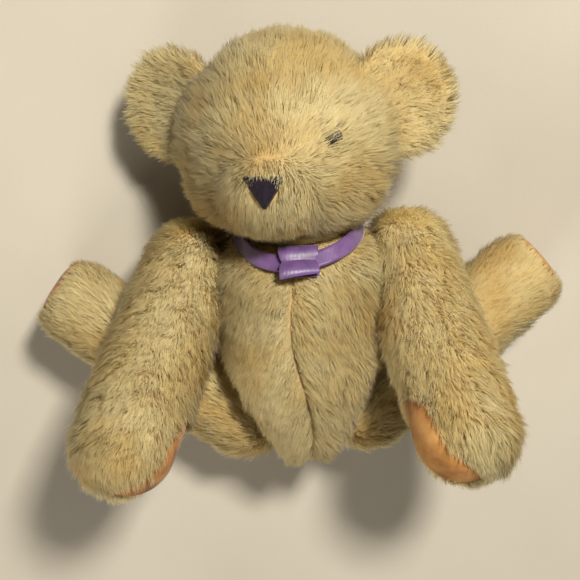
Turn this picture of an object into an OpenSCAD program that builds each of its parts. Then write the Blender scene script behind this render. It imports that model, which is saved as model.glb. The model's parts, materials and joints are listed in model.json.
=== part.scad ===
// Disc-jointed plush teddy bear, lying on its back.
// X points to the bear's left, Y to the top of its head, Z up out of its chest.
// The back rests on the plane Z = 0, and the origin is there, under the middle of the belly.
// Lengths are in millimetres, angles in degrees.
// Cloth sizes are measured to the backing of the plush, not to the tips of the pile.

/* [Cloth] */
// Thickness of the plush backing with its dense pile root
cloth_t = 2; // [1.5:0.25:2.5]
// Thickness of the suede of the paw and foot pads
suede_t = 1.2; // [0.8:0.1:1.5]

/* [Torso] */
// Radius of the torso at the belly
torso_r = 52; // [51:0.5:53]
// Length from the bottom seam to the neck joint
torso_len = 150; // [148:1:152]
// Height of the torso's axis above the resting plane
torso_z = 50; // [49:0.5:51]
// Angle by which each side of the lower torso tapers
hip_tilt = 25.5; // [24.5:0.5:26.5]
// Radius of the round shoulder line below the neck
dome_r = 22; // [20:1:24]

/* [Head] */
// Radius of the skull
skull_r = 57; // [56:0.5:57.5]
// Radius of the crown, set higher than the skull
crown_r = 54; // [52:0.5:55]
// Radius of the muzzle
muzzle_r = 30; // [28:0.5:31]
// Turn of the head towards the bear's right at rest
head_turn = 13; // [0:1:30]
// Radius of an ear
ear_r = 28; // [26:0.5:29]
// Thickness of an ear
ear_t = 9; // [7:0.5:10]

/* [Face] */
// Angle of each eye to the side of the face's centre line
eye_az = 38; // [34:1:40]
// Angle of the eyes above the middle of the skull
eye_el = 12; // [8:1:14]
// Radius of an eye
eye_r = 6; // [5:0.5:6.5]
// Width of the nose across its top edge
nose_w = 21; // [18:1:23]
// Height of the nose
nose_h = 16; // [14:1:18]
// How far the nose stands out of the muzzle
nose_t = 5; // [3:0.5:6]

/* [Arms] */
// Radius of an arm at the shoulder
shoulder_r = 25; // [24:0.5:26]
// Radius of a paw
paw_r = 28; // [26:0.5:28.5]
// Length from the shoulder's centre to the paw's centre
arm_len = 119; // [112:1:122]
// How far the arms are raised to the front at rest
arm_raise = 43; // [42:1:48]
// How far the bear's left arm spreads outwards
left_arm_spread = 11; // [8:1:14]
// How far the bear's right arm spreads outwards
right_arm_spread = 19; // [14:1:19]

/* [Legs] */
// Radius of a thigh
thigh_r = 26; // [25:0.5:26.5]
// Radius of an ankle
ankle_r = 23.5; // [22:0.5:24]
// Length from the hip's centre to the ankle's centre
leg_len = 130; // [122:1:132]
// Length from the ankle's centre to the toe's centre
foot_len = 20; // [16:1:20]
// Radius of the toe
toe_r = 17; // [15:0.5:17]

/* [Disc joints] */
// Radius of the joint discs and washers
disc_r = 14; // [12:0.5:14]
// Thickness of a joint disc
disc_t = 2.5; // [2:0.25:3]
// Radius of a joint's stem
stem_r = 3; // [2.5:0.25:3.5]

/* [Ribbon] */
// Width of the ribbon round the neck
ribbon_w = 10; // [8:1:11]
// Width of the folded knot
knot_w = 25; // [20:1:26]

/* [Hidden] */
$fn = 64;

plush = [0.80, 0.71, 0.47];
filling = [0.95, 0.94, 0.90];
suede = [0.74, 0.50, 0.25];
joint_white = [0.90, 0.90, 0.86];
nose_dark = [0.11, 0.07, 0.12];
lilac = [0.56, 0.44, 0.72];

LEFT = 1;
RIGHT = -1;

// Half of the slit between two covers that turn on each other
slit = 0.3;
// Room between a cover and the stuffing inside it
ease = 0.1;
// Larger than any part, for the blocks that trim them
far = 400;
// How far a cutter reaches past what it cuts
overcut = 1;
// Half length of the cutters for the stem and shank holes
hole_reach = 15;
// Steps in each arc of an outline
arc_steps = 7;
// Sides of the small round corners
corner_sides = 32;

// The torso's outline: a bottom arc, a straight taper, a belly arc and a dome under the neck
bottom_arc_r = 14;
belly_arc_r = 40;
belly_y = 75;
dome_y = torso_len - slit - dome_r;
dome_x = torso_r - dome_r;
belly_x = torso_r - belly_arc_r;
taper_rise = belly_y - belly_arc_r * sin(hip_tilt) - bottom_arc_r * (1 - sin(hip_tilt));
bottom_x = belly_x + (belly_arc_r - bottom_arc_r) * cos(hip_tilt) - taper_rise * tan(hip_tilt);

// Middle of the torso's bottom seam
seat_pos = [0, -100, torso_z];

// Joint places
neck_pos = seat_pos + [0, torso_len, 0];
shoulder_pos = seat_pos + [48, 130, 0];
hip_pos = seat_pos + [24.4, 34.7, -12];
// Distance from a joint's plane to the limb's centre line
shoulder_depth = 18;
hip_depth = 18;
// Distance from the ankle's centre to the flat sole
sole_depth = 13;

// Turn of each palm about its arm, from facing straight inwards towards facing down
left_palm_turn = -10;
right_palm_turn = 10;

// Head places
skull_pos = neck_pos + [0, 52, 8];
crown_pos = neck_pos + [0, 64, 6];
muzzle_pos = neck_pos + [0, 38.5, 45];
ear_pos = neck_pos + [66, 79, 6];
nose_el = 8;

// Joint hardware. The shoulder washers are smaller, to fit under the torso's round shoulder line.
shoulder_washer_r = 9;
washer_t = 2;
lock_t = 2;
lock_r = 8;
washer_face = slit + cloth_t + 2 * ease;
lock_face = washer_face + washer_t + 0.2;
stem_end = lock_face + lock_t + 2;
stem_play = 0.05;
hardware_room = 0.5;
shank_r = 2;
shank_len = 9;
eye_washer_r = 7;
eye_washer_t = 1.5;
eye_washer_top = cloth_t + 0.6;

// Ribbon
ribbon_t = 0.6;
ribbon_gap = 0.6;
ribbon_high = 75;
ribbon_low = ribbon_high - ribbon_w / (dome_r + ribbon_gap) * 180 / PI;
knot_tilt = 35;
knot_h = 18;
knot_t = 7;

// Points along an arc from angle a0 to a1
function arc(centre, r, a0, a1) =
    [for (i = [0:arc_steps]) let (a = a0 + (a1 - a0) * i / arc_steps) centre + r * [cos(a), sin(a)]];

// Half outline of the torso, its walls moved in by inset
function torso_outline(inset) = concat(
    [[0, inset]],
    arc([bottom_x, bottom_arc_r], bottom_arc_r - inset, -90, -hip_tilt),
    arc([belly_x, belly_y], belly_arc_r - inset, -hip_tilt, 0),
    arc([dome_x, dome_y], dome_r - inset, 0, 90),
    [[0, dome_y + dome_r - inset]]
);

// Half outline of a limb: two round ends of radius r0 and r1 joined by their common tangent
function limb_outline(r0, r1, len, inset) = let (lean = asin((r0 - r1) / len)) concat(
    arc([0, 0], r0 - inset, -90, lean),
    arc([0, len], r1 - inset, lean, 90)
);

// Block that fills the space above the local plane Z = height, used to trim solids flat
module above(height) {
    translate([-far, -far, height]) cube(2 * far);
}

module below(height) {
    mirror([0, 0, 1]) above(-height);
}

// Mirrors its children to the bear's right side when side is RIGHT
module on_side(side) {
    if (side == LEFT) children();
    else mirror([1, 0, 0]) children();
}

// Local frames whose Z axis points out of the torso along a joint's axis
module neck_frame() {
    translate(neck_pos) rotate([-90, 0, 0]) children();
}

module shoulder_frame() {
    translate(shoulder_pos) rotate([0, 90, 0]) children();
}

module hip_frame() {
    translate(hip_pos) rotate([0, 0, -hip_tilt]) rotate([0, 90, 0]) children();
}

// Draws its children in the frames of all five joints
module at_every_joint() {
    neck_frame() children();
    for (side = [LEFT, RIGHT]) on_side(side) {
        shoulder_frame() children();
        hip_frame() children();
    }
}

// The head turned on its neck
module turned() {
    translate(neck_pos) rotate([0, -head_turn, 0]) translate(-neck_pos) children();
}

// Flat ring with its lower face on Z = 0
module ring(outer_r, bore_r, thickness) {
    difference() {
        cylinder(r = outer_r, h = thickness);
        translate([0, 0, -overcut]) cylinder(r = bore_r, h = thickness + 2 * overcut);
    }
}

// Disc with its stem, inside the limb that turns
module joint_disc() {
    color(joint_white) {
        translate([0, 0, slit + cloth_t + ease]) cylinder(r = disc_r, h = disc_t);
        translate([0, 0, -stem_end]) cylinder(r = stem_r, h = stem_end + slit + cloth_t + 2 * ease);
    }
}

// Washer that the torso's cloth is held by, with a running fit on the stem
module joint_washer(washer_r = disc_r) {
    color(joint_white) translate([0, 0, -washer_face - washer_t])
        ring(washer_r, stem_r + stem_play, washer_t);
}

module shoulder_washer(side) {
    on_side(side) shoulder_frame() joint_washer(shoulder_washer_r);
}

// Lock washer pressed onto the stem
module joint_lock() {
    color(joint_white) translate([0, 0, -lock_face - lock_t]) ring(lock_r, stem_r, lock_t);
}

// Hole in a cover for a joint's stem
module stem_hole() {
    cylinder(r = stem_r + hardware_room, h = 2 * hole_reach, center = true);
}

// Hollow in the torso's stuffing for a washer, a lock washer and the stem's end
module washer_hollow() {
    translate([0, 0, -stem_end - overcut]) cylinder(r = disc_r + hardware_room, h = stem_end + hole_reach);
}

// Hollow in a limb's stuffing for its disc
module disc_hollow() {
    cylinder(r = disc_r + hardware_room, h = slit + cloth_t + disc_t + 2 * ease);
}

// Torso with flat seats for the arms and legs and a flat back
module torso_form(inset) {
    difference() {
        translate(seat_pos) rotate([-90, 0, 0]) rotate_extrude() polygon(torso_outline(inset));
        below(inset);
        for (side = [LEFT, RIGHT]) on_side(side) {
            shoulder_frame() above(-slit - inset);
            hip_frame() above(-slit - inset);
        }
    }
}

module body_cover() {
    color(plush) difference() {
        torso_form(0);
        torso_form(cloth_t);
        at_every_joint() stem_hole();
    }
}

module body_stuffing() {
    color(filling) difference() {
        torso_form(cloth_t + ease);
        at_every_joint() washer_hollow();
    }
}

// Head flat where it sits on the neck joint
module head_form(inset) {
    difference() {
        union() {
            translate(skull_pos) sphere(skull_r - inset);
            translate(crown_pos) sphere(crown_r - inset);
            translate(muzzle_pos) sphere(muzzle_r - inset);
        }
        neck_frame() below(slit + inset);
    }
}

// Local frame on the skull where an eye sits, its Z axis pointing outwards
module eye_frame() {
    translate(skull_pos) rotate([0, eye_az, 0]) rotate([-eye_el, 0, 0])
        translate([0, 0, skull_r]) children();
}

module head_cover() {
    color(plush) turned() difference() {
        head_form(0);
        head_form(cloth_t);
        neck_frame() stem_hole();
        for (side = [LEFT, RIGHT]) on_side(side) eye_frame()
            cylinder(r = shank_r + ease, h = 2 * hole_reach, center = true);
    }
}

module head_stuffing() {
    color(filling) turned() difference() {
        head_form(cloth_t + ease);
        neck_frame() disc_hollow();
        for (side = [LEFT, RIGHT]) on_side(side) eye_frame()
            translate([0, 0, -shank_len - overcut])
                cylinder(r = eye_washer_r + hardware_room, h = shank_len + overcut);
    }
}

// Round, flat ear sewn to the side of the head
module ear(side) {
    rim = ear_t / 2;
    color(plush) turned() on_side(side) difference() {
        translate(ear_pos) rotate_extrude()
            polygon(concat([[0, -rim]], arc([ear_r - rim, 0], rim, -90, 90), [[0, rim]]));
        head_form(-ease);
    }
}

// Triangular nose with round corners, point down
module nose() {
    corner_r = 2.5;
    color(nose_dark) turned() difference() {
        translate(muzzle_pos) rotate([-nose_el, 0, 0]) translate([0, 0, muzzle_r - nose_t]) hull() {
            for (side = [LEFT, RIGHT]) translate([side * (nose_w / 2 - corner_r), nose_h / 2 - corner_r, 0])
                cylinder(r = corner_r, h = 2 * nose_t, $fn = corner_sides);
            translate([0, corner_r - nose_h / 2, 0])
                cylinder(r = corner_r, h = 2 * nose_t, $fn = corner_sides);
        }
        head_form(-ease);
    }
}

// Safety eye: a dome with a shank through the cloth
module eye(side) {
    color(nose_dark) turned() on_side(side) eye_frame() {
        translate([0, 0, ease]) difference() {
            sphere(eye_r);
            below(0);
        }
        translate([0, 0, -shank_len]) cylinder(r = shank_r, h = shank_len + 2 * ease);
    }
}

// Washer that locks an eye's shank behind the cloth
module eye_washer(side) {
    color(joint_white) turned() on_side(side) eye_frame()
        translate([0, 0, -eye_washer_top - eye_washer_t]) ring(eye_washer_r, shank_r, eye_washer_t);
}

// Ribbon lying on the torso's dome round the neck
module ribbon_band() {
    inner = dome_r + ribbon_gap;
    color(lilac) translate(seat_pos) rotate([-90, 0, 0]) rotate_extrude()
        polygon(concat(
            arc([dome_x, dome_y], inner + ribbon_t, ribbon_low, ribbon_high),
            arc([dome_x, dome_y], inner, ribbon_high, ribbon_low)
        ));
}

// Folded knot on the chest, lying on the ribbon
module ribbon_knot() {
    corner_r = 2;
    color(lilac) translate(seat_pos + [0, dome_y, dome_x]) rotate([-knot_tilt, 0, 0])
        translate([0, 0, dome_r + ribbon_gap + ribbon_t + ease]) hull()
            for (x = [-1, 1], y = [-1, 1])
                translate([x * (knot_w / 2 - corner_r), y * (knot_h / 2 - corner_r), 0])
                    cylinder(r = corner_r, h = knot_t, $fn = corner_sides);
}

// Local frame of an arm: origin at the shoulder's centre, Z down the arm
module arm_frame(spread) {
    translate(shoulder_pos + [shoulder_depth + slit, 0, 0])
        rotate([90 - arm_raise, 0, 0]) rotate([0, spread, 0]) children();
}

module arm_form(spread, inset) {
    difference() {
        arm_frame(spread) rotate_extrude() polygon(limb_outline(shoulder_r, paw_r, arm_len, inset));
        shoulder_frame() below(slit + inset);
    }
}

module arm_cover(side, spread) {
    color(plush) on_side(side) difference() {
        arm_form(spread, 0);
        arm_form(spread, cloth_t);
        shoulder_frame() stem_hole();
    }
}

module arm_stuffing(side, spread) {
    color(filling) on_side(side) difference() {
        arm_form(spread, cloth_t + ease);
        shoulder_frame() disc_hollow();
    }
}

// Long suede pad on the palm, which faces inwards and towards the paw's tip
module paw_pad(side, spread, palm_turn) {
    pad_r = 17;
    palm_tilt = 62;
    pad_front = 10;
    pad_back = -20;
    color(suede) on_side(side) intersection() {
        difference() {
            arm_form(spread, -ease - suede_t);
            arm_form(spread, -ease);
        }
        arm_frame(spread) translate([0, 0, arm_len]) rotate([0, 0, palm_turn]) rotate([0, -palm_tilt, 0])
            linear_extrude(far) polygon(concat(
                arc([pad_front, 0], pad_r, -90, 90),
                arc([pad_back, 0], pad_r, 90, 270)
            ));
    }
}

// Local frame of a leg: origin at the hip's centre, Z down the leg, Y towards the toe
module leg_frame() {
    translate(hip_pos + (hip_depth + slit) * [cos(hip_tilt), -sin(hip_tilt), 0])
        rotate([0, 0, -2 * hip_tilt]) rotate([-90, 0, 0]) children();
}

module leg_form(inset) {
    heel_r = ankle_r - 1.5;
    difference() {
        leg_frame() {
            rotate_extrude() polygon(limb_outline(thigh_r, ankle_r, leg_len, inset));
            translate([0, 0, leg_len]) rotate([-90, 0, 0])
                rotate_extrude() polygon(limb_outline(heel_r, toe_r, foot_len, inset));
        }
        leg_frame() above(leg_len + sole_depth - inset);
        hip_frame() below(slit + inset);
    }
}

module leg_cover(side) {
    color(plush) on_side(side) difference() {
        leg_form(0);
        leg_form(cloth_t);
        hip_frame() stem_hole();
    }
}

module leg_stuffing(side) {
    color(filling) on_side(side) difference() {
        leg_form(cloth_t + ease);
        hip_frame() disc_hollow();
    }
}

// Suede sole, wider at the heel
module foot_pad(side) {
    heel_r = 17;
    front_r = 11;
    color(suede) on_side(side) leg_frame() translate([0, 0, leg_len + sole_depth + ease]) hull() {
        cylinder(r = heel_r, h = suede_t, $fn = corner_sides);
        translate([0, foot_len, 0]) cylinder(r = front_r, h = suede_t, $fn = corner_sides);
    }
}

body_cover();
body_stuffing();
neck_frame() joint_washer();  // neck_washer
shoulder_washer(LEFT);  // left_shoulder_washer
shoulder_washer(RIGHT);  // right_shoulder_washer
on_side(LEFT) hip_frame() joint_washer();  // left_hip_washer
on_side(RIGHT) hip_frame() joint_washer();  // right_hip_washer
ribbon_band();
ribbon_knot();
head_cover();
head_stuffing();
ear(LEFT);  // left_ear
ear(RIGHT);  // right_ear
nose();
eye(LEFT);  // left_eye
eye(RIGHT);  // right_eye
eye_washer(LEFT);  // left_eye_washer
eye_washer(RIGHT);  // right_eye_washer
turned() neck_frame() joint_disc();  // neck_disc
turned() neck_frame() joint_lock();  // neck_lock
arm_cover(LEFT, left_arm_spread);  // left_arm_cover
arm_stuffing(LEFT, left_arm_spread);  // left_arm_stuffing
paw_pad(LEFT, left_arm_spread, left_palm_turn);  // left_paw_pad
on_side(LEFT) shoulder_frame() joint_disc();  // left_shoulder_disc
on_side(LEFT) shoulder_frame() joint_lock();  // left_shoulder_lock
arm_cover(RIGHT, right_arm_spread);  // right_arm_cover
arm_stuffing(RIGHT, right_arm_spread);  // right_arm_stuffing
paw_pad(RIGHT, right_arm_spread, right_palm_turn);  // right_paw_pad
on_side(RIGHT) shoulder_frame() joint_disc();  // right_shoulder_disc
on_side(RIGHT) shoulder_frame() joint_lock();  // right_shoulder_lock
leg_cover(LEFT);  // left_leg_cover
leg_stuffing(LEFT);  // left_leg_stuffing
foot_pad(LEFT);  // left_foot_pad
on_side(LEFT) hip_frame() joint_disc();  // left_hip_disc
on_side(LEFT) hip_frame() joint_lock();  // left_hip_lock
leg_cover(RIGHT);  // right_leg_cover
leg_stuffing(RIGHT);  // right_leg_stuffing
foot_pad(RIGHT);  // right_foot_pad
on_side(RIGHT) hip_frame() joint_disc();  // right_hip_disc
on_side(RIGHT) hip_frame() joint_lock();  // right_hip_lock
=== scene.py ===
"""Looks of the jointed plush bear.

Soft skins with a long pile, suede pads, a felt nose and a satin ribbon, then the floor, light and camera.
"""

import json
import math

import bmesh
import bpy
import numpy as np
from mathutils import Matrix, Vector, noise
from mathutils.bvhtree import BVHTree
from mathutils.kdtree import KDTree


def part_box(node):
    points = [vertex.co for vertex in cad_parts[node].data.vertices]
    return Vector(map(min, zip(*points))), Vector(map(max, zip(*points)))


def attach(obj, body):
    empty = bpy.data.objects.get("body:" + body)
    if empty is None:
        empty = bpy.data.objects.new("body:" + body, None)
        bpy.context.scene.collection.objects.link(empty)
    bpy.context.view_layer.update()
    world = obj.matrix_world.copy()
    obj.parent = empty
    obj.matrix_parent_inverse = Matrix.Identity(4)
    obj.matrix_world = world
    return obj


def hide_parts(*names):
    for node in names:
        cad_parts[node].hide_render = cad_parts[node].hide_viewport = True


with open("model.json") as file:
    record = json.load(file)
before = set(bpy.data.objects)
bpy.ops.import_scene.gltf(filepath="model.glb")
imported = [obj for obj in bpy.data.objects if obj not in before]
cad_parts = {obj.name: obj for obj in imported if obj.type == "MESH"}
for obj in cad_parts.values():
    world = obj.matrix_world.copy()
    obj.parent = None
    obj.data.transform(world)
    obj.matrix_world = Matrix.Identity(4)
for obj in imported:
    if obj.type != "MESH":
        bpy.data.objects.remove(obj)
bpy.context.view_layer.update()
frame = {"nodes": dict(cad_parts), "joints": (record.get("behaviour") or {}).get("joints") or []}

MM = 0.001
UP = Vector((0, 0, 1))
SIDES = {"left": 1, "right": -1}

# ---------------------------------------------------------------- sizes, which go with the CAD's

HEAD_TURN = Matrix.Rotation(math.radians(-13), 4, "Y")
# The head is melted from balls: places in millimetres from the neck joint before the head's turn, and radii.
MUZZLE = (0, 38.5, 45)
MUZZLE_R = 29
HEAD_BALLS = [((0, 52, 8), 57), ((0, 62.5, 6), 52), (MUZZLE, MUZZLE_R), ((0, 46, 36), 33)]
# The jaw's and the cheeks' balls, one of each on either side.
HEAD_BALL_PAIRS = [((25, 37, 20), 30), ((19, 57, 8), 43.5)]

# The torso's outline: place along the frame's Y axis and radius, in millimetres.
TORSO_PROFILE = [
    (-100, 0), (-99, 12), (-94, 22), (-80, 33.5), (-60, 43.5), (-40, 50), (-25, 51.5),
    (0, 51.5), (27, 51.5), (38, 48), (45, 42), (48.8, 33), (49.5, 20), (49.5, 0),
]
SEAM_DEPTH = 3.5 * MM
SEAM_WIDTH = 5 * MM
# The seam's wave: how far it swings aside, its pace, where it crosses, and how far it lies off the middle.
SEAM_WAVE = 5 * MM
SEAM_WAVE_PACE = 24 * MM
SEAM_WAVE_Y = 40 * MM
SEAM_OFF = 2 * MM
BACK_Z = 0.5 * MM
VOXEL = 3.2 * MM

# How far a limb's axis starts from its joint's plane, and how far each skin stops short of that plane.
LIMB_DEPTH = 18.3 * MM
SEAT_INSET = 0.8 * MM
NECK_INSET = 0.5 * MM
# No pile grows this near the plane of a joint.
BARE_SEAT = 2.5 * MM
BARE_NECK = 2 * MM

ARM_R = 25 * MM
PAW_R = 28 * MM
PALM_TILT = math.radians(62)
PALM_TURN = {"left": math.radians(-10), "right": math.radians(10)}
PALM_MIDDLE = -6 * MM
PALM_LONG = 30 * MM
PALM_WIDE = 17 * MM
PALM_POWER = 2.35
PALM_CROWN = 2.2 * MM

HIP_TILT = math.radians(25.5)
LEG_LENGTH = 130 * MM
LEG_R = 25 * MM
ANKLE_R = 22.5 * MM
HEEL_R = 21 * MM
TOE_R = 16 * MM
FOOT_LENGTH = 20 * MM
FOOT_DEPTH = 12.6 * MM
SOLE_DEPTH = 13.2 * MM
SOLE_HEEL_R = 17.5 * MM
SOLE_TOE_R = 11.5 * MM
SOLE_CROWN = 1.8 * MM
SUEDE_T = 1.2 * MM

NOSE_OUT = 28.5 * MM
NOSE_CROWN = 4.2 * MM
NOSE_BACK = 1.5 * MM
NOSE_DROP = 1.5 * MM

RIBBON_W = 10 * MM
RIBBON_T = 0.5 * MM
COLLAR_R = 43 * MM
COLLAR_Y = 51 * MM
# How far the band runs out and down to the knot, and how far it sinks in at the bear's right and left.
RIBBON_DROP = 9 * MM
RIBBON_IN_RIGHT = 5 * MM
RIBBON_IN_LEFT = 4 * MM

STRAND_W = 0.32 * MM
STRANDS_PER_MM2 = 2.7
TUFT_MM2 = 8.0
SWIRL = 0.6
SWIRL_SIZE = 11 * MM
TUFT_LEAN = 0.10
TUFT_GATHER = 0.16
STRAY = 0.12
# Spread of length and of tone, between strands and between tufts.
LENGTH_SPREAD = 0.12
TUFT_LENGTH_SPREAD = 0.11
TONE_SPREAD = 0.10
# How much a strand's blade turns about its own line, bows up from the skin and curls aside.
BLADE_TURN = 0.35
BLADE_BOW = 0.30
BLADE_CURL = 0.05
BLADE_POINTS = 5
# The least that a strand rises from the skin, and the height of its lowest points over the floor.
LEAST_RISE = 0.25
FLOOR_GAP = 0.4 * MM

# Lengths of the pile in millimetres. The crown and the rings round the eyes have so much more than the face.
FACE_PILE = 5.5
CROWN_EXTRA = 4.2
EYE_EXTRA = 2.5
EAR_PILE = 9.0
BODY_PILE = 9.5
PALM_EDGE_PILE = 6.5
SOLE_EDGE_PILE = 4.5

# The pile's colours at root, middle and tip: the darker roots are painted shade deep in the pile.
PILE_ROOT_SHADED = (0.78, 0.65, 0.36)
PILE_MID = (0.87, 0.76, 0.44)
PILE_TIP = (0.92, 0.84, 0.54)

# The camera's distance, its lean from straight down, its roll, and what it looks at and takes in.
CAMERA_AWAY = 0.70
CAMERA_TILT = math.radians(16.9)
CAMERA_ROLL = math.radians(3.5)
CAMERA_TARGET = Vector((-6, 14, 60)) * MM
CAMERA_SENSOR = 36
FRAME_WIDTH = 0.354

# ---------------------------------------------------------------- places, from the record and the CAD nodes

JOINTS = {j["name"]: j for j in frame["joints"]}


def joint_place(name):
    return Vector(JOINTS[name]["pos_m"])


NECK = joint_place("neck_turn")


def centre_of(node):
    low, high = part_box(node)
    return (low + high) / 2


def on_head(x, y, z):
    """A point of the head, given in millimetres from the neck joint before the head's turn."""
    return NECK + HEAD_TURN @ (Vector((x, y, z)) * MM)


def outward_of_hip(side):
    return Vector((SIDES[side] * math.cos(HIP_TILT), -math.sin(HIP_TILT), 0))


def shoulder_and_paw(side):
    """Both ends of an arm's axis: beside the shoulder joint, and in the middle of the round paw."""
    low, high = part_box(f"{side}_arm_cover")
    sign = SIDES[side]
    start = joint_place(f"{side}_shoulder_turn") + Vector((sign * LIMB_DEPTH, 0, 0))
    outer = high.x if sign > 0 else low.x
    return start, Vector((outer - sign * PAW_R, low.y + PAW_R, high.z - PAW_R))


def hip_and_ankle(side):
    axis = outward_of_hip(side)
    along = Vector((SIDES[side] * math.sin(2 * HIP_TILT), math.cos(2 * HIP_TILT), 0))
    start = joint_place(f"{side}_hip_turn") + axis * LIMB_DEPTH
    return start, start + along * LEG_LENGTH, axis, along


def palm_ways(side):
    """The way a palm faces, its long way towards the paw's tip, and its cross way."""
    start, paw = shoulder_and_paw(side)
    mirror = Matrix.Diagonal((SIDES[side], 1, 1))
    down_arm = mirror @ (paw - start).normalized()
    raised = math.atan2(down_arm.z, -down_arm.y)
    back = Vector((0, math.sin(raised), math.cos(raised)))
    arm_axes = Matrix((back.cross(down_arm), back, down_arm)).transposed()
    turned = Matrix.Rotation(PALM_TURN[side], 3, "Z") @ Matrix.Rotation(-PALM_TILT, 3, "Y")
    return [mirror @ arm_axes @ turned @ Vector(way) for way in ((0, 0, 1), (1, 0, 0), (0, 1, 0))]


# ---------------------------------------------------------------- mesh helpers

def new_object(name, mesh):
    obj = bpy.data.objects.new(name, mesh)
    bpy.context.scene.collection.objects.link(obj)
    return obj


def coordinates(mesh):
    co = np.empty(len(mesh.vertices) * 3, np.float32)
    mesh.vertices.foreach_get("co", co)
    return co.reshape(-1, 3).astype(float)


def set_coordinates(mesh, co):
    mesh.vertices.foreach_set("co", co.astype(np.float32).ravel())
    mesh.update()


def with_modifier(obj, kind, **settings):
    """Adds a modifier, applies it and leaves the result as the object's mesh."""
    modifier = obj.modifiers.new(kind, kind)
    for key, value in settings.items():
        setattr(modifier, key, value)
    graph = bpy.context.evaluated_depsgraph_get()
    mesh = bpy.data.meshes.new_from_object(obj.evaluated_get(graph))
    obj.modifiers.clear()
    obj.data = mesh
    mesh.shade_smooth()
    return obj


def soft_noise(points, scale, seed):
    """Smooth noise from -1 to 1 at each point; scale is the size of its lumps in metres."""
    shift = Vector((seed * 7.3, seed * 3.1, seed * 5.7))
    return np.array([noise.noise(Vector(p) / scale + shift) for p in points])


def unit(v):
    """Each row of an array scaled to length 1."""
    return v / np.maximum(np.linalg.norm(v, axis=1, keepdims=True), 1e-12)


def to_object(bm, name):
    mesh = bpy.data.meshes.new(name)
    bm.to_mesh(mesh)
    bm.free()
    mesh.shade_smooth()
    return new_object(name, mesh)


def melt(obj, cuts):
    """Makes one soft closed skin of overlapping solids, cut by planes given as (point, outward normal)."""
    with_modifier(obj, "REMESH", mode="VOXEL", voxel_size=VOXEL)
    cut_flat(obj, cuts)
    with_modifier(obj, "REMESH", mode="VOXEL", voxel_size=VOXEL)
    return with_modifier(obj, "SMOOTH", factor=0.5, iterations=6)


def balls_object(name, balls):
    bm = bmesh.new()
    for centre, radius in balls:
        bmesh.ops.create_icosphere(bm, subdivisions=4, radius=radius, matrix=Matrix.Translation(centre))
    return to_object(bm, name)


def revolved(name, profile, centre, sides=96):
    """Closed surface turned about the Y axis through centre.

    The profile is (y, radius) pairs, and its two ends have no radius.
    """
    bm = bmesh.new()
    turns = [2 * math.pi * i / sides for i in range(sides)]
    rings = []
    for y, radius in profile[1:-1]:
        spots = [centre + Vector((radius * math.cos(a), y, radius * math.sin(a))) for a in turns]
        rings.append([bm.verts.new(spot) for spot in spots])
    first, last = (bm.verts.new(centre + Vector((0, profile[k][0], 0))) for k in (0, -1))
    for i in range(sides):
        j = (i + 1) % sides
        for low, high in zip(rings, rings[1:]):
            bm.faces.new((low[i], low[j], high[j], high[i]))
        bm.faces.new((first, rings[0][j], rings[0][i]))
        bm.faces.new((last, rings[-1][i], rings[-1][j]))
    bmesh.ops.recalc_face_normals(bm, faces=bm.faces)
    return to_object(bm, name)


def cut_flat(obj, cuts):
    bm = bmesh.new()
    bm.from_mesh(obj.data)
    for point, normal in cuts:
        everything = bm.verts[:] + bm.edges[:] + bm.faces[:]
        cut = bmesh.ops.bisect_plane(bm, geom=everything, plane_co=point, plane_no=normal, clear_outer=True)
        rim = [e for e in cut["geom_cut"] if isinstance(e, bmesh.types.BMEdge)]
        bmesh.ops.holes_fill(bm, edges=rim)
    bm.to_mesh(obj.data)
    bm.free()


def chain(start, end, start_r, end_r, swell=0.0, steps=12):
    """Balls along a limb, with a slight swell halfway."""
    balls = []
    for i in range(steps + 1):
        t = i / steps
        radius = start_r + (end_r - start_r) * t + swell * math.sin(math.pi * t)
        balls.append((start.lerp(end, t), radius))
    return balls


def sculpt(obj, move):
    """Moves each vertex along its normal by move(points) metres."""
    mesh = obj.data
    co = coordinates(mesh)
    normals = np.array([v.normal for v in mesh.vertices])
    set_coordinates(mesh, co + normals * move(co)[:, None])


def lumps(obj, height, size, seed):
    sculpt(obj, lambda points: height * soft_noise(points, size, seed))


def rings_of(spot, rings, sides):
    """Rings of points spot(share, angle), where the share grows from the middle to 1 at the rim."""
    turns = [2 * math.pi * i / sides for i in range(sides)]
    return [[spot(k / rings, a) for a in turns] for k in range(1, rings + 1)]


def dome(bm, grid, top):
    """Faces from one top point out over rings of points. Gives back the rim's vertices."""
    rings = [[bm.verts.new(spot) for spot in ring] for ring in grid]
    peak = bm.verts.new(top)
    sides = len(rings[0])
    for i in range(sides):
        j = (i + 1) % sides
        bm.faces.new((peak, rings[0][i], rings[0][j]))
        for inner, outer in zip(rings, rings[1:]):
            bm.faces.new((inner[i], outer[i], outer[j], inner[j]))
    return rings[-1]


# ---------------------------------------------------------------- material helpers

def new_material(name):
    material = bpy.data.materials.new(name)
    material.use_nodes = True
    tree = material.node_tree
    return material, tree, tree.nodes["Principled BSDF"]


def add_node(tree, kind, inputs=(), **settings):
    node = tree.nodes.new("ShaderNode" + kind)
    for key, value in settings.items():
        setattr(node, key, value)
    for key, value in dict(inputs).items():
        if isinstance(value, bpy.types.NodeSocket):
            tree.links.new(value, node.inputs[key])
        else:
            node.inputs[key].default_value = value
    return node


def object_space(tree):
    return add_node(tree, "TexCoord").outputs["Object"]


def noise_at(tree, scale, detail):
    node = add_node(tree, "TexNoise", {"Vector": object_space(tree), "Scale": scale, "Detail": detail})
    return node.outputs["Fac"]


def ramp(tree, factor, stops):
    node = add_node(tree, "ValToRGB", {"Fac": factor})
    elements = node.color_ramp.elements
    while len(elements) < len(stops):
        elements.new(0.5)
    for element, (position, colour) in zip(elements, stops):
        element.position = position
        element.color = (*colour, 1)
    return node.outputs["Color"]


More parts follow.
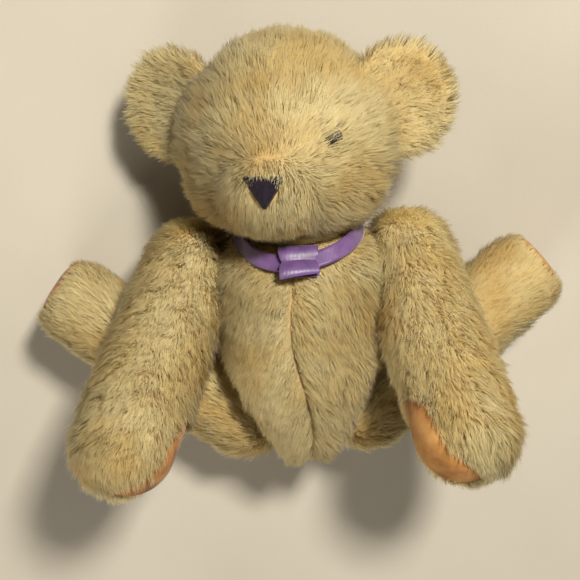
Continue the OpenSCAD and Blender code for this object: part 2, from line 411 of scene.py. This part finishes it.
def multiplied(tree, a, b):
    """The product of two colours. The Mix node's colour sockets are told apart by their places."""
    factor, first, second, result = 0, 6, 7, 2
    node = add_node(tree, "Mix", {factor: 1.0, first: a, second: b}, data_type="RGBA", blend_type="MULTIPLY")
    return node.outputs[result]


def bump(tree, shader, height, distance):
    node = add_node(tree, "Bump", {"Height": height, "Distance": distance, "Strength": 1.0})
    tree.links.new(node.outputs["Normal"], shader.inputs["Normal"])


# ---------------------------------------------------------------- materials

def plush_colour(tree, along):
    """Honey pile, cream at the tips and painted darker down to the roots as shade deep in the pile, in
    golden and pale patches and with a tone for each tuft.
    """
    # Painted shade: the pile darkens from its tips down to its roots.
    base = ramp(tree, along, [(0.0, PILE_ROOT_SHADED), (0.45, PILE_MID), (1.0, PILE_TIP)])
    patches = ramp(tree, noise_at(tree, 28, 4), [(0.40, (1, 1, 1)), (0.66, (0.93, 0.84, 0.66))])
    patched = multiplied(tree, base, patches)
    tone = add_node(tree, "Attribute", attribute_name="fur_tone").outputs["Fac"]
    shades = ramp(tree, tone, [(0.0, (0.80, 0.77, 0.72)), (1.0, (1.08, 1.08, 1.06))])
    return multiplied(tree, patched, shades)


def pile_material():
    material, tree, shader = new_material("plush_pile")
    along = add_node(tree, "Attribute", attribute_name="fur_along").outputs["Fac"]
    colour = plush_colour(tree, along)
    tree.links.new(colour, shader.inputs["Base Color"])
    shader.inputs["Roughness"].default_value = 0.75
    shader.inputs["Specular IOR Level"].default_value = 0.25
    shader.inputs["Sheen Weight"].default_value = 0.25
    shader.inputs["Sheen Roughness"].default_value = 0.5
    through = add_node(tree, "BsdfTranslucent", {"Color": colour})
    both = add_node(tree, "MixShader", {0: 0.55, 1: shader.outputs["BSDF"], 2: through.outputs["BSDF"]})
    tree.links.new(both.outputs["Shader"], tree.nodes["Material Output"].inputs["Surface"])
    return material


def backing_material():
    """Woven backing of the plush, seen between the roots."""
    material, tree, shader = new_material("plush_backing")
    base = ramp(tree, noise_at(tree, 60, 5), [(0.3, (0.42, 0.29, 0.12)), (0.7, (0.56, 0.42, 0.20))])
    tree.links.new(base, shader.inputs["Base Color"])
    shader.inputs["Roughness"].default_value = 0.95
    bump(tree, shader, noise_at(tree, 900, 2), 0.4 * MM)
    return material


def suede_material():
    material, tree, shader = new_material("suede")
    nap = noise_at(tree, 70, 5)
    shades = [(0.3, (0.20, 0.075, 0.02)), (0.5, (0.42, 0.19, 0.05)), (0.75, (0.58, 0.31, 0.10))]
    tree.links.new(ramp(tree, nap, shades), shader.inputs["Base Color"])
    shader.inputs["Roughness"].default_value = 0.95
    shader.inputs["Specular IOR Level"].default_value = 0.2
    shader.inputs["Sheen Weight"].default_value = 0.1
    bump(tree, shader, noise_at(tree, 1500, 4), 0.25 * MM)
    return material


def nose_material():
    material, tree, shader = new_material("nose_felt")
    base = ramp(tree, noise_at(tree, 350, 4), [(0.3, (0.006, 0.003, 0.007)), (0.8, (0.020, 0.010, 0.024))])
    tree.links.new(base, shader.inputs["Base Color"])
    shader.inputs["Roughness"].default_value = 0.75
    shader.inputs["Specular IOR Level"].default_value = 0.2
    shader.inputs["Sheen Weight"].default_value = 0.08
    bump(tree, shader, noise_at(tree, 1800, 3), 0.2 * MM)
    return material


def eye_material():
    material, tree, shader = new_material("eye_gloss")
    base = ramp(tree, noise_at(tree, 200, 2), [(0.2, (0.008, 0.006, 0.006)), (0.9, (0.035, 0.02, 0.015))])
    tree.links.new(base, shader.inputs["Base Color"])
    shader.inputs["Roughness"].default_value = 0.5
    shader.inputs["Coat Weight"].default_value = 0.05
    return material


def satin_material():
    """Satin ribbon: fine ribs across its width, a soft sheen."""
    material, tree, shader = new_material("satin")
    shade = ramp(tree, noise_at(tree, 90, 3), [(0.3, (0.085, 0.038, 0.135)), (0.7, (0.17, 0.085, 0.24))])
    tree.links.new(shade, shader.inputs["Base Color"])
    shader.inputs["Roughness"].default_value = 0.32
    shader.inputs["Sheen Weight"].default_value = 0.3
    shader.inputs["Anisotropic"].default_value = 0.4
    weave = {"Vector": object_space(tree), "Scale": 420.0, "Distortion": 1.5}
    ribs = add_node(tree, "TexWave", weave).outputs["Fac"]
    bump(tree, shader, ribs, 0.06 * MM)
    return material


def plastic_material():
    material, tree, shader = new_material("joint_plastic")
    base = ramp(tree, noise_at(tree, 120, 2), [(0.3, (0.72, 0.72, 0.68)), (0.7, (0.82, 0.82, 0.78))])
    tree.links.new(base, shader.inputs["Base Color"])
    shader.inputs["Roughness"].default_value = 0.45
    bump(tree, shader, noise_at(tree, 700, 2), 0.05 * MM)
    return material


MATERIALS = {
    "pile": pile_material(),
    "backing": backing_material(),
    "suede": suede_material(),
    "nose": nose_material(),
    "eye": eye_material(),
    "satin": satin_material(),
    "plastic": plastic_material(),
}


# ---------------------------------------------------------------- the pile

def surface_samples(mesh, rng):
    """Roots spread evenly over a mesh, with their smooth normals."""
    mesh.calc_loop_triangles()
    tris = np.empty(len(mesh.loop_triangles) * 3, np.int32)
    mesh.loop_triangles.foreach_get("vertices", tris)
    tris = tris.reshape(-1, 3)
    co = coordinates(mesh)
    normals = np.array([v.normal for v in mesh.vertices])
    a, b, c = co[tris[:, 0]], co[tris[:, 1]], co[tris[:, 2]]
    area = np.linalg.norm(np.cross(b - a, c - a), axis=1) / 2
    count = int(area.sum() / MM**2 * STRANDS_PER_MM2)
    pick = rng.choice(len(tris), count, p=area / area.sum())
    u, v = rng.random(count), rng.random(count)
    flip = u + v > 1
    u[flip], v[flip] = 1 - u[flip], 1 - v[flip]
    w = np.stack([1 - u - v, u, v], 1)[:, :, None]
    roots = (co[tris[pick]] * w).sum(1)
    return roots, unit((normals[tris[pick]] * w).sum(1))


def nearest(points, targets):
    """Index of the nearest target for each point."""
    tree = KDTree(len(targets))
    for i, t in enumerate(targets):
        tree.insert(t, i)
    tree.balance()
    return np.array([tree.find(p)[1] for p in points])


def tufts_among(roots, rng):
    """Picks some of the roots as middles of tufts. Gives back those, and the tuft of each root."""
    tuft_count = max(8, int(len(roots) / STRANDS_PER_MM2 / TUFT_MM2))
    tufts = rng.choice(len(roots), tuft_count, replace=False)
    return tufts, nearest(roots, roots[tufts])


def strand_ways(normals, lay, lean, swirl, tuft_lean, rng):
    """Unit direction of each strand: up from the skin and over along the lay, with some disorder."""
    lay = unit(lay - normals * (lay * normals).sum(1, keepdims=True))
    stray = rng.normal(0, STRAY, normals.shape)
    ways = unit(normals + lean * lay + SWIRL * swirl + tuft_lean + stray)
    rise = (ways * normals).sum(1, keepdims=True)
    return unit(ways + normals * np.maximum(0, LEAST_RISE - rise))


def strand_spine(roots, normals, ways, reach, tufts, tuft_of, rng):
    """Root, middle and tip of each strand: it rises before it bends over, and leans to its tuft's tip."""
    reach = reach[:, None]
    tips = roots + ways * reach
    gather = rng.uniform(0.0, TUFT_GATHER, len(tufts))[tuft_of, None]
    tips += (tips[tufts][tuft_of] - tips) * gather
    bend = roots + normals * reach * BLADE_BOW + (tips - roots) * BLADE_BOW
    side = unit(np.cross(ways, rng.normal(size=ways.shape)))
    middle = (roots + 2 * bend + tips) / 4 + side * rng.normal(0, BLADE_CURL, (len(roots), 1)) * reach
    spine = [roots, middle, tips]
    for points in spine:
        points[:, 2] = np.maximum(points[:, 2], FLOOR_GAP)
    return spine


def strand_mesh(name, spine, normals, ways, rng):
    """A flat blade for each strand: two points at the root, two at the middle, one at the tip."""
    count = len(ways)
    facing = normals + rng.normal(0, BLADE_TURN, (count, 3)) - ways * (normals * ways).sum(1, keepdims=True)
    across = unit(np.cross(ways, unit(facing)))
    half = across * STRAND_W * rng.uniform(0.7, 1.3, (count, 1)) / 2
    roots, middle, tips = spine
    vertices = np.stack([roots - half, roots + half, middle - half, middle + half, tips], 1).reshape(-1, 3)
    first = np.arange(count)[:, None] * BLADE_POINTS
    return polygons(name, vertices, first + [0, 1, 3, 2], first + [2, 3, 4])


def pile(name, skin, comb, length, keep, seed, lean=1.1):
    """Mesh strands on a skin.

    comb(points) gives the way they lie, length(points) is in metres, and keep(points) is where they grow.
    """
    rng = np.random.default_rng(seed)
    roots, normals = surface_samples(skin.data, rng)
    grown = keep(roots)
    roots, normals = roots[grown], normals[grown]
    count = len(roots)
    tufts, tuft_of = tufts_among(roots, rng)
    swirl = np.stack([soft_noise(roots[tufts], SWIRL_SIZE, seed + k) for k in (0.1, 0.4, 0.7)], 1)[tuft_of]
    tuft_lean = rng.normal(0, TUFT_LEAN, (len(tufts), 3))[tuft_of]
    ways = strand_ways(normals, comb(roots), lean, swirl, tuft_lean, rng)
    reach = length(roots) * rng.normal(1.0, LENGTH_SPREAD, count).clip(0.6, 1.3)
    reach *= rng.normal(1.0, TUFT_LENGTH_SPREAD, len(tufts)).clip(0.75, 1.3)[tuft_of]
    spine = strand_spine(roots, normals, ways, reach, tufts, tuft_of, rng)
    mesh = strand_mesh(name, spine, normals, ways, rng)
    # The strands are shaded mostly like the skin under them, so that the pile looks soft.
    shown = unit(normals + ways * 0.12 + rng.normal(0, 0.05, (count, 3)))
    tone = rng.normal(0.5, TONE_SPREAD, len(tufts))[tuft_of] + rng.normal(0, TONE_SPREAD, count)
    paint(mesh, "fur_along", np.tile([0, 0, 0.5, 0.5, 1.0], count))
    paint(mesh, "fur_tone", np.repeat(tone.clip(0, 1), BLADE_POINTS))
    mesh.normals_split_custom_set_from_vertices(np.repeat(shown, BLADE_POINTS, axis=0).tolist())
    mesh.materials.append(MATERIALS["pile"])
    return new_object(name, mesh)


def polygons(name, vertices, quads, triangles):
    mesh = bpy.data.meshes.new(name)
    mesh.vertices.add(len(vertices))
    mesh.vertices.foreach_set("co", vertices.astype(np.float32).ravel())
    corners = np.concatenate([quads.ravel(), triangles.ravel()]).astype(np.int32)
    mesh.loops.add(len(corners))
    mesh.loops.foreach_set("vertex_index", corners)
    mesh.polygons.add(len(quads) + len(triangles))
    starts = np.concatenate([np.arange(len(quads)) * 4, len(quads) * 4 + np.arange(len(triangles)) * 3])
    mesh.polygons.foreach_set("loop_start", starts.astype(np.int32))
    mesh.update(calc_edges=True)
    mesh.shade_smooth()
    return mesh


def paint(mesh, name, values):
    mesh.attributes.new(name, "FLOAT", "POINT").data.foreach_set("value", values.astype(np.float32))


def away_from(point):
    return lambda points: points - np.array(point)


def all_of(*tests):
    def keep(points):
        kept = np.ones(len(points), bool)
        for test in tests:
            kept &= test(points)
        return kept
    return keep


def distances(points, centre):
    return np.linalg.norm(points - np.array(centre), axis=1)


def outside_ball(centre, radius):
    return lambda points: distances(points, centre) > radius


def off_plane(point, normal, gap, reach):
    """False on the flat seat of a joint: nearer its plane than gap, and nearer its centre than reach."""
    def keep(points):
        height = np.abs((points - np.array(point)) @ np.array(normal))
        return (height > gap) | (distances(points, point) > reach)
    return keep


# ---------------------------------------------------------------- pieces

def finish_soft(skin, fur, body, nodes):
    skin.data.materials.clear()
    skin.data.materials.append(MATERIALS["backing"])
    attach(skin, body)
    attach(fur, body)
    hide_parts(*nodes)


def head():
    balls = [(on_head(*place), radius * MM) for place, radius in HEAD_BALLS]
    for (x, y, z), radius in HEAD_BALL_PAIRS:
        balls += [(on_head(sign * x, y, z), radius * MM) for sign in (-1, 1)]
    neck_cut = (NECK + Vector((0, NECK_INSET, 0)), Vector((0, -1, 0)))
    skin = melt(balls_object("head_skin", balls), [neck_cut])
    lumps(skin, 1.2 * MM, 38 * MM, seed=1)
    nose_tip = on_head(0, 42.5, 74)
    muzzle_core = np.array(on_head(0, 42.5, 44))
    up = np.array(HEAD_TURN @ Vector((0, 1, 0)))
    across = np.array(HEAD_TURN @ Vector((1, 0, 0)))
    eyes = [centre_of(f"{side}_eye") for side in SIDES]
    keep = all_of(
        outside_ball(nose_tip - HEAD_TURN @ Vector((0, 2 * MM, 0)), 8.0 * MM),
        outside_ball(eyes[0], 4.0 * MM),
        outside_ball(eyes[1], 2.0 * MM),
        off_plane(NECK, (0, 1, 0), BARE_NECK, 30 * MM),
    )

    def comb(points):
        """Away from the nose, but down over its top edge from just above it."""
        away = unit(points - muzzle_core)
        from_nose = points - np.array(nose_tip)
        rise, aside = from_nose @ up, np.abs(from_nose @ across)
        over_nose = ((rise > 6 * MM) & (rise < 10.5 * MM) & (aside < 9 * MM))[:, None]
        return np.where(over_nose, -up, away)

    def length(points):
        """Short round the nose and at the jaw, longer towards the crown and round the eyes."""
        by_crown = CROWN_EXTRA * np.clip(distances(points, nose_tip) / (40 * MM), 0, 1)
        by_eye = EYE_EXTRA * (np.minimum(*[distances(points, eye) for eye in eyes]) < 10 * MM)
        jaw = np.clip((points[:, 1] - NECK.y - 2 * MM) / (16 * MM), 0.65, 1)
        return MM * (FACE_PILE + by_crown + by_eye) * jaw

    fur = pile("head_fur", skin, comb, length, keep, seed=11)
    finish_soft(skin, fur, "head", ["head_cover", "head_stuffing"])


def ear(side):
    """A flat ear of two layers, cupped forwards."""
    sign = SIDES[side]
    radius, half, cup = 27 * MM, 4.2 * MM, 6 * MM
    taller, turned_out = 1.1, math.radians(8)
    centre = on_head(sign * 66, 77.5, 6)
    bm = bmesh.new()
    bmesh.ops.create_uvsphere(bm, u_segments=48, v_segments=32, radius=1)
    for v in bm.verts:
        rim = v.co.x**2 + v.co.y**2
        v.co = Vector((v.co.x * radius, v.co.y * radius * taller, v.co.z * half + cup * (rim - 0.4)))
    bm.transform(Matrix.Translation(centre) @ HEAD_TURN @ Matrix.Rotation(sign * turned_out, 4, "Y"))
    skin = to_object(bm, f"{side}_ear_skin")
    root = on_head(sign * 36, 60, 4)
    keep = outside_ball(on_head(0, 58, 7), 52 * MM)

    def length(points):
        return np.full(len(points), EAR_PILE * MM)

    fur = pile(f"{side}_ear_fur", skin, away_from(root), length, keep, seed=20 + sign, lean=0.9)
    finish_soft(skin, fur, "head", [f"{side}_ear"])


def seam_gap(points):
    """Distance from the torso's wavy centre front seam, signed to the bear's left; large on the back."""
    line = SEAM_WAVE * np.sin((points[:, 1] - SEAM_WAVE_Y) / SEAM_WAVE_PACE) - SEAM_OFF
    far_away = 1.0
    return np.where(points[:, 2] > NECK.z, points[:, 0] - line, far_away)


def by_seam(points):
    """1 on the seam, falling to nearly 0 within a centimetre."""
    return np.exp(-(seam_gap(points) / SEAM_WIDTH) ** 2)


def torso():
    profile = [(y * MM, radius * MM) for y, radius in TORSO_PROFILE]
    skin = revolved("torso_skin", profile, Vector((0, 0, NECK.z)))
    cuts = [(Vector((0, 0, BACK_Z)), -UP)]
    seats = [off_plane(NECK, (0, 1, 0), BARE_NECK, 32 * MM)]
    for side, sign in SIDES.items():
        shoulder = (joint_place(f"{side}_shoulder_turn"), Vector((sign, 0, 0)))
        hip = (joint_place(f"{side}_hip_turn"), outward_of_hip(side))
        for place, out in (shoulder, hip):
            cuts.append((place - out * SEAT_INSET, out))
            seats.append(off_plane(place, out, BARE_SEAT, 22 * MM))
    melt(skin, cuts)
    sculpt(skin, lambda points: 1.2 * MM * soft_noise(points, 30 * MM, 2) - SEAM_DEPTH * by_seam(points))

    def comb(points):
        """Down the torso, and apart at the seam."""
        gap = seam_gap(points)[:, None]
        part = np.sign(gap) * np.exp(-np.abs(gap) / (12 * MM)) * np.array([1.0, 0, 0])
        return np.array([0, -1.0, 0]) + 1.6 * part

    def length(points):
        """Shorter by the seam, and short under the ribbon."""
        _, ribbon_y = ribbon_line(np.arctan2(points[:, 0], points[:, 2] - NECK.z))
        below_ribbon = np.clip((ribbon_y - 5 * MM - points[:, 1]) / (7 * MM), 0.3, 1)
        return MM * BODY_PILE * (1 - 0.4 * by_seam(points)) * below_ribbon

    fur = pile("torso_fur", skin, comb, length, all_of(*seats), seed=31)
    finish_soft(skin, fur, "torso", ["body_cover", "body_stuffing"])


def superellipse(x, y, inset):
    """Below 1 inside the palm's oval outline moved in by inset."""
    return (np.abs(x) / (PALM_LONG - inset)) ** PALM_POWER + (np.abs(y) / (PALM_WIDE - inset)) ** PALM_POWER


def arm(side):
    sign = SIDES[side]
    start, paw = shoulder_and_paw(side)
    along = (paw - start).normalized()
    joint = joint_place(f"{side}_shoulder_turn")
    out = Vector((sign, 0, 0))
    balls = chain(start, paw, ARM_R - 1 * MM, PAW_R - 1 * MM, swell=1.0 * MM)
    skin = melt(balls_object(f"{side}_arm_skin", balls), [(joint + out * SEAT_INSET, -out)])
    lumps(skin, 1.2 * MM, 26 * MM, seed=4 + sign)
    faces, long_way, cross_way = palm_ways(side)

    far_away = 9.0

    def in_palm(points):
        """Below 1 inside the palm's oval, on the side that it faces."""
        away = points - np.array(paw)
        oval = superellipse(away @ np.array(long_way) - PALM_MIDDLE, away @ np.array(cross_way), 0.5 * MM)
        return np.where(away @ np.array(faces) > 0, oval, far_away)

    fringe = {"left": 0.0, "right": 0.6}[side]

    def comb(points):
        """Down the arm. By the right palm it also hangs over the pad's edge."""
        near_palm = np.clip(2.2 - in_palm(points), 0, 1)[:, None]
        return np.array(along) + fringe * near_palm * np.array(faces)

    def length(points):
        """Short at the palm's edge unless it is a fringe there, and longer away from it."""
        from_palm = np.clip((in_palm(points) - 1) / 1.5, 0, 1)
        at_edge = PALM_EDGE_PILE + 2.5 * fringe
        return MM * (at_edge + (BODY_PILE - at_edge) * from_palm)

    keep = all_of(lambda points: in_palm(points) > 1, off_plane(joint, out, BARE_SEAT, 24 * MM))
    fur = pile(f"{side}_arm_fur", skin, comb, length, keep, seed=40 + sign)
    finish_soft(skin, fur, f"{side}_arm", [f"{side}_arm_cover", f"{side}_arm_stuffing"])
    pad = palm_pad(f"{side}_paw_suede", skin, paw, (faces, long_way, cross_way))
    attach(pad, f"{side}_arm")
    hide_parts(f"{side}_paw_pad")


def suede_piece(name, grid, top):
    """A thin suede piece with a crown, from rings of points that spread from one top point."""
    bm = bmesh.new()
    dome(bm, grid, top)
    bmesh.ops.recalc_face_normals(bm, faces=bm.faces)
    obj = to_object(bm, name)
    with_modifier(obj, "SOLIDIFY", thickness=SUEDE_T, offset=0.0)
    obj.data.materials.append(MATERIALS["suede"])
    return obj


def power_curve(value):
    """A cosine or sine bent into the palm's oval."""
    return math.copysign(abs(value) ** (2 / PALM_POWER), value)


def palm_pad(name, skin, paw, ways):
    """A long suede oval sewn on the palm, which follows the arm's skin and puckers at its stitches."""
    faces, long_way, cross_way = ways
    mesh = skin.data
    tree = BVHTree.FromPolygons([v.co for v in mesh.vertices], [p.vertices[:] for p in mesh.polygons])

    def on_skin(x, y, lift):
        """The skin's point behind the palm's place x, y, or the nearest one where the skin turns away."""
        place = paw + long_way * (PALM_MIDDLE + x) + cross_way * y
        spot, normal, _, _ = tree.ray_cast(place + faces * 80 * MM, -faces)
        if spot is None or normal.dot(faces) < 0.2:
            spot, normal, _, _ = tree.find_nearest(place + faces * 10 * MM)
        return spot + normal * lift

    def spot(share, a):
        x = PALM_LONG * share * power_curve(math.cos(a))
        y = PALM_WIDE * share * power_curve(math.sin(a))
        pucker = 0.25 * MM * math.sin(24 * a) * share**6
        return on_skin(x, y, PALM_CROWN - 1.6 * MM * share**4 + pucker)

    return suede_piece(name, rings_of(spot, rings=16, sides=96), on_skin(0, 0, PALM_CROWN))


def leg(side):
    sign = SIDES[side]
    hip, ankle, axis, along = hip_and_ankle(side)
    joint = joint_place(f"{side}_hip_turn")
    toe = ankle - UP * FOOT_LENGTH
    balls = chain(hip, ankle, LEG_R, ANKLE_R) + chain(ankle, toe, HEEL_R, TOE_R, steps=5)
    foot_end = ankle + along * FOOT_DEPTH
    cuts = [(joint + axis * SEAT_INSET, -axis), (foot_end, along)]
    skin = melt(balls_object(f"{side}_leg_skin", balls), cuts)
    lumps(skin, 1.0 * MM, 24 * MM, seed=7 + sign)

    def from_sole(points):
        return np.abs((points - np.array(foot_end)) @ np.array(along))

    def comb(points):
        return np.tile(np.array(along), (len(points), 1))

    def length(points):
        """Short at the sole's edge, longer up the leg."""
        up_leg = np.clip(from_sole(points) / (20 * MM), 0, 1)
        return MM * (SOLE_EDGE_PILE + (BODY_PILE - SOLE_EDGE_PILE) * up_leg)

    keep = all_of(off_plane(joint, axis, BARE_SEAT, 25 * MM), lambda points: from_sole(points) > 2.2 * MM)
    fur = pile(f"{side}_leg_fur", skin, comb, length, keep, seed=50 + sign, lean=1.4)
    finish_soft(skin, fur, f"{side}_leg", [f"{side}_leg_cover", f"{side}_leg_stuffing"])
    sole = flat_sole(f"{side}_foot_suede", ankle + along * SOLE_DEPTH, along)
    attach(sole, f"{side}_leg")
    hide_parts(f"{side}_foot_pad")


def flat_sole(name, heel, outward):
    """An egg-shaped suede sole, wider at the heel, a little crowned and puckered at its stitched edge."""
    down = -UP
    across = outward.cross(down)

    def spot(share, a):
        reach = (math.cos(a) + 1) / 2
        radius = SOLE_HEEL_R + (SOLE_TOE_R - SOLE_HEEL_R) * reach
        rim = down * (FOOT_LENGTH * reach + radius * math.cos(a)) + across * radius * math.sin(a)
        lift = SOLE_CROWN * (1 - share**3) + 0.2 * MM * math.sin(20 * a) * share**6
        return heel + rim * share + down * FOOT_LENGTH * 0.5 * (1 - share) + outward * lift

    top = heel + down * FOOT_LENGTH * 0.5 + outward * SOLE_CROWN
    return suede_piece(name, rings_of(spot, rings=12, sides=72), top)


def rounded_triangle(a):
    """Distance of the nose's outline from its centre at angle a.

    A flat top edge and two slanting sides, each given by its way in degrees and its distance, with round
    corners.
    """
    sides = ((90, 6.2 * MM), (-33, 7.3 * MM), (213, 7.3 * MM))
    power = 7
    total = sum(max(0.0, math.cos(a - math.radians(way)) / reach) ** power for way, reach in sides)
    return total ** (-1 / power)


def nose():
    """A crowned triangle with round corners, point down."""
    muzzle = on_head(*MUZZLE)
    outward = (centre_of("nose") - muzzle).normalized()
    centre = muzzle + outward * NOSE_OUT
    up = HEAD_TURN @ Vector((0, 1, 0))
    up = (up - outward * up.dot(outward)).normalized()
    across = up.cross(outward)

    def spot(share, a):
        radius = rounded_triangle(a) * share
        height = NOSE_CROWN * math.sqrt(max(0.0, 1 - share**2.6))
        place = across * radius * math.cos(a) + up * (radius * math.sin(a) - NOSE_DROP)
        return centre + place + outward * height

    bm = bmesh.new()
    rim = dome(bm, rings_of(spot, rings=12, sides=90), centre + outward * NOSE_CROWN)
    back = bm.verts.new(centre - outward * NOSE_BACK)
    for here, there in zip(rim, rim[1:] + rim[:1]):
        bm.faces.new((back, there, here))
    bmesh.ops.recalc_face_normals(bm, faces=bm.faces)
    obj = to_object(bm, "nose_felt")
    lumps(obj, 0.25 * MM, 4 * MM, seed=9)
    obj.data.materials.append(MATERIALS["nose"])
    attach(obj, "head")
    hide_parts("nose")


def ribbon_line(a):
    """Radius and height of the ribbon's middle at angle a round the neck, counted from the front.

    The band stands on the pile and drops to the knot.
    """
    front = np.maximum(0.0, np.cos(a)) ** 3
    right, left = np.maximum(0.0, -np.sin(a)), np.maximum(0.0, np.sin(a)) ** 8
    radius = COLLAR_R + RIBBON_DROP * front - RIBBON_IN_RIGHT * right - RIBBON_IN_LEFT * left
    return radius, COLLAR_Y + 0.06 * radius * np.sin(a) - RIBBON_DROP * front


def ribbon_piece(name, rows, closed):
    """A thin piece of ribbon from rows of points. A closed one joins its last row to its first."""
    bm = bmesh.new()
    rows = [[bm.verts.new(spot) for spot in row] for row in rows]
    following = rows[1:] + rows[:1] if closed else rows[1:]
    for here, there in zip(rows, following):
        for k in range(len(here) - 1):
            bm.faces.new((here[k], here[k + 1], there[k + 1], there[k]))
    bmesh.ops.recalc_face_normals(bm, faces=bm.faces)
    obj = to_object(bm, name)
    return with_modifier(obj, "SOLIDIFY", thickness=RIBBON_T, offset=1.0)


def ribbon():
    """A satin band round the neck that drops in a shallow V to the knot on the chest."""
    sides, across = 160, 6
    rows = []
    for i in range(sides):
        a = 2 * math.pi * i / sides
        front = max(0.0, math.cos(a)) ** 3
        ripple = 0.35 * MM * math.sin(5 * a + 1.0)
        middle_r, middle_y = ribbon_line(a)
        row = []
        for k in range(across + 1):
            offset = (k / across - 0.5) * RIBBON_W
            radius = middle_r + offset * (0.36 + 0.21 * front)
            y = middle_y - offset * (0.93 - 0.11 * front) + ripple
            row.append(Vector((radius * math.sin(a), y, NECK.z + radius * math.cos(a))))
        rows.append(row)
    obj = ribbon_piece("ribbon_satin", rows, closed=True)
    obj.data.materials.append(MATERIALS["satin"])
    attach(obj, "torso")
    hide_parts("ribbon_band")


def knot():
    """The ribbon folded over itself into a flat bow without loops, its lower end cut on the slant."""
    centre = centre_of("ribbon_knot")
    tilt = math.radians(35)
    down = Vector((0, -math.cos(tilt), math.sin(tilt)))
    out = Vector((0, math.sin(tilt), math.cos(tilt)))
    # The fold seen from its side: height and distance from the chest, in millimetres.
    fold = [(-9, -1.5), (-3, -2.4), (4, -1.6), (8.6, -0.4), (9.4, 1.2), (7.6, 2.2), (3, 2.0), (0.4, 1.2),
            (-0.6, 1.6), (-3, 3.2), (-7, 3.6), (-9.6, 2.6)]
    across, half_width = 16, 11.6
    rows = []
    for n, (y, z) in enumerate(fold):
        waist = 1 - 0.16 * math.exp(-((y - 0.2) / 2.2) ** 2)
        row = []
        for k in range(across + 1):
            t = k / across * 2 - 1
            slant = 1.4 * t * (n == len(fold) - 1)
            crown = 1.2 * (1 - t * t) - 0.8
            x = half_width * t * waist
            row.append(centre + Vector((x, 0, 0)) * MM - down * (y + slant) * MM + out * (z + crown) * MM)
        rows.append(row)
    obj = ribbon_piece("ribbon_knot_satin", rows, closed=False)
    with_modifier(obj, "SUBSURF", levels=2)
    obj.data.materials.append(MATERIALS["satin"])
    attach(obj, "torso")
    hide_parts("ribbon_knot")


def refinish(obj, material):
    obj.data.materials.clear()
    obj.data.materials.append(MATERIALS[material])


def inner_finishes():
    """The eyes and the joint hardware stay as the CAD made them, with their own materials."""
    for name, obj in frame["nodes"].items():
        if name in ("left_eye", "right_eye"):
            refinish(obj, "eye")
        elif name.endswith(("_disc", "_washer", "_lock")):
            refinish(obj, "plastic")


# ---------------------------------------------------------------- floor, light and camera

def floor():
    """A wide pale sheet with slight waves, its top just under the bear."""
    bm = bmesh.new()
    bmesh.ops.create_grid(bm, x_segments=160, y_segments=160, size=1.2)
    for v in bm.verts:
        v.co.z = 0.9 * MM * noise.noise(v.co * 9) - 1.0 * MM
    obj = to_object(bm, "floor_sheet")
    material, tree, shader = new_material("pale_sheet")
    base = ramp(tree, noise_at(tree, 5, 3), [(0.3, (0.48, 0.435, 0.355)), (0.7, (0.54, 0.495, 0.41))])
    tree.links.new(base, shader.inputs["Base Color"])
    shader.inputs["Roughness"].default_value = 0.95
    bump(tree, shader, noise_at(tree, 1200, 2), 0.1 * MM)
    obj.data.materials.append(material)


def area_light(name, place, target, size, power, colour):
    data = bpy.data.lights.new(name, "AREA")
    data.size = size
    data.energy = power
    data.color = colour
    obj = bpy.data.objects.new(name, data)
    bpy.context.scene.collection.objects.link(obj)
    obj.location = place
    obj.rotation_mode = "QUATERNION"
    obj.rotation_quaternion = (Vector(target) - Vector(place)).to_track_quat("-Z", "Y")


def lighting():
    """A lamp beyond the bear's left ear throws the shadows. Weak light fills in from its feet and above."""
    scene = bpy.context.scene
    world = bpy.data.worlds.new("studio")
    scene.world = world
    world.use_nodes = True
    background = world.node_tree.nodes["Background"]
    background.inputs["Color"].default_value = (1.0, 0.95, 0.87, 1)
    background.inputs["Strength"].default_value = 0.07
    area_light("window", (0.56, 1.1, 1.55), target=(0, 0, 0.05), size=0.3, power=55, colour=(1, 0.96, 0.88))
    area_light("fill", (-0.9, -1.3, 0.8), target=(0, 0, 0.08), size=0.9, power=15, colour=(1, 0.95, 0.86))
    area_light("ceiling", (-0.1, -0.1, 1.5), target=(0, 0, 0), size=1.2, power=0.8, colour=(1, 0.95, 0.88))
    scene.view_settings.view_transform = "Standard"


def camera():
    """Looks down on the bear from a little to the head's side."""
    data = bpy.data.cameras.new("camera")
    data.sensor_width = CAMERA_SENSOR
    data.lens = CAMERA_SENSOR * CAMERA_AWAY / FRAME_WIDTH
    obj = bpy.data.objects.new("camera", data)
    bpy.context.scene.collection.objects.link(obj)
    back = Vector((0, math.sin(CAMERA_TILT), math.cos(CAMERA_TILT)))
    obj.location = CAMERA_TARGET + back * CAMERA_AWAY
    upright = Vector((0, math.cos(CAMERA_TILT), -math.sin(CAMERA_TILT)))
    right = (-back).cross(upright)
    up = upright * math.cos(CAMERA_ROLL) + right * math.sin(CAMERA_ROLL)
    right = (-back).cross(up)
    obj.rotation_mode = "QUATERNION"
    obj.rotation_quaternion = Matrix((right, up, back)).transposed().to_quaternion()
    bpy.context.scene.camera = obj


camera()
head()
for side in SIDES:
    ear(side)
    arm(side)
    leg(side)
torso()
nose()
ribbon()
knot()
inner_finishes()
floor()
lighting()
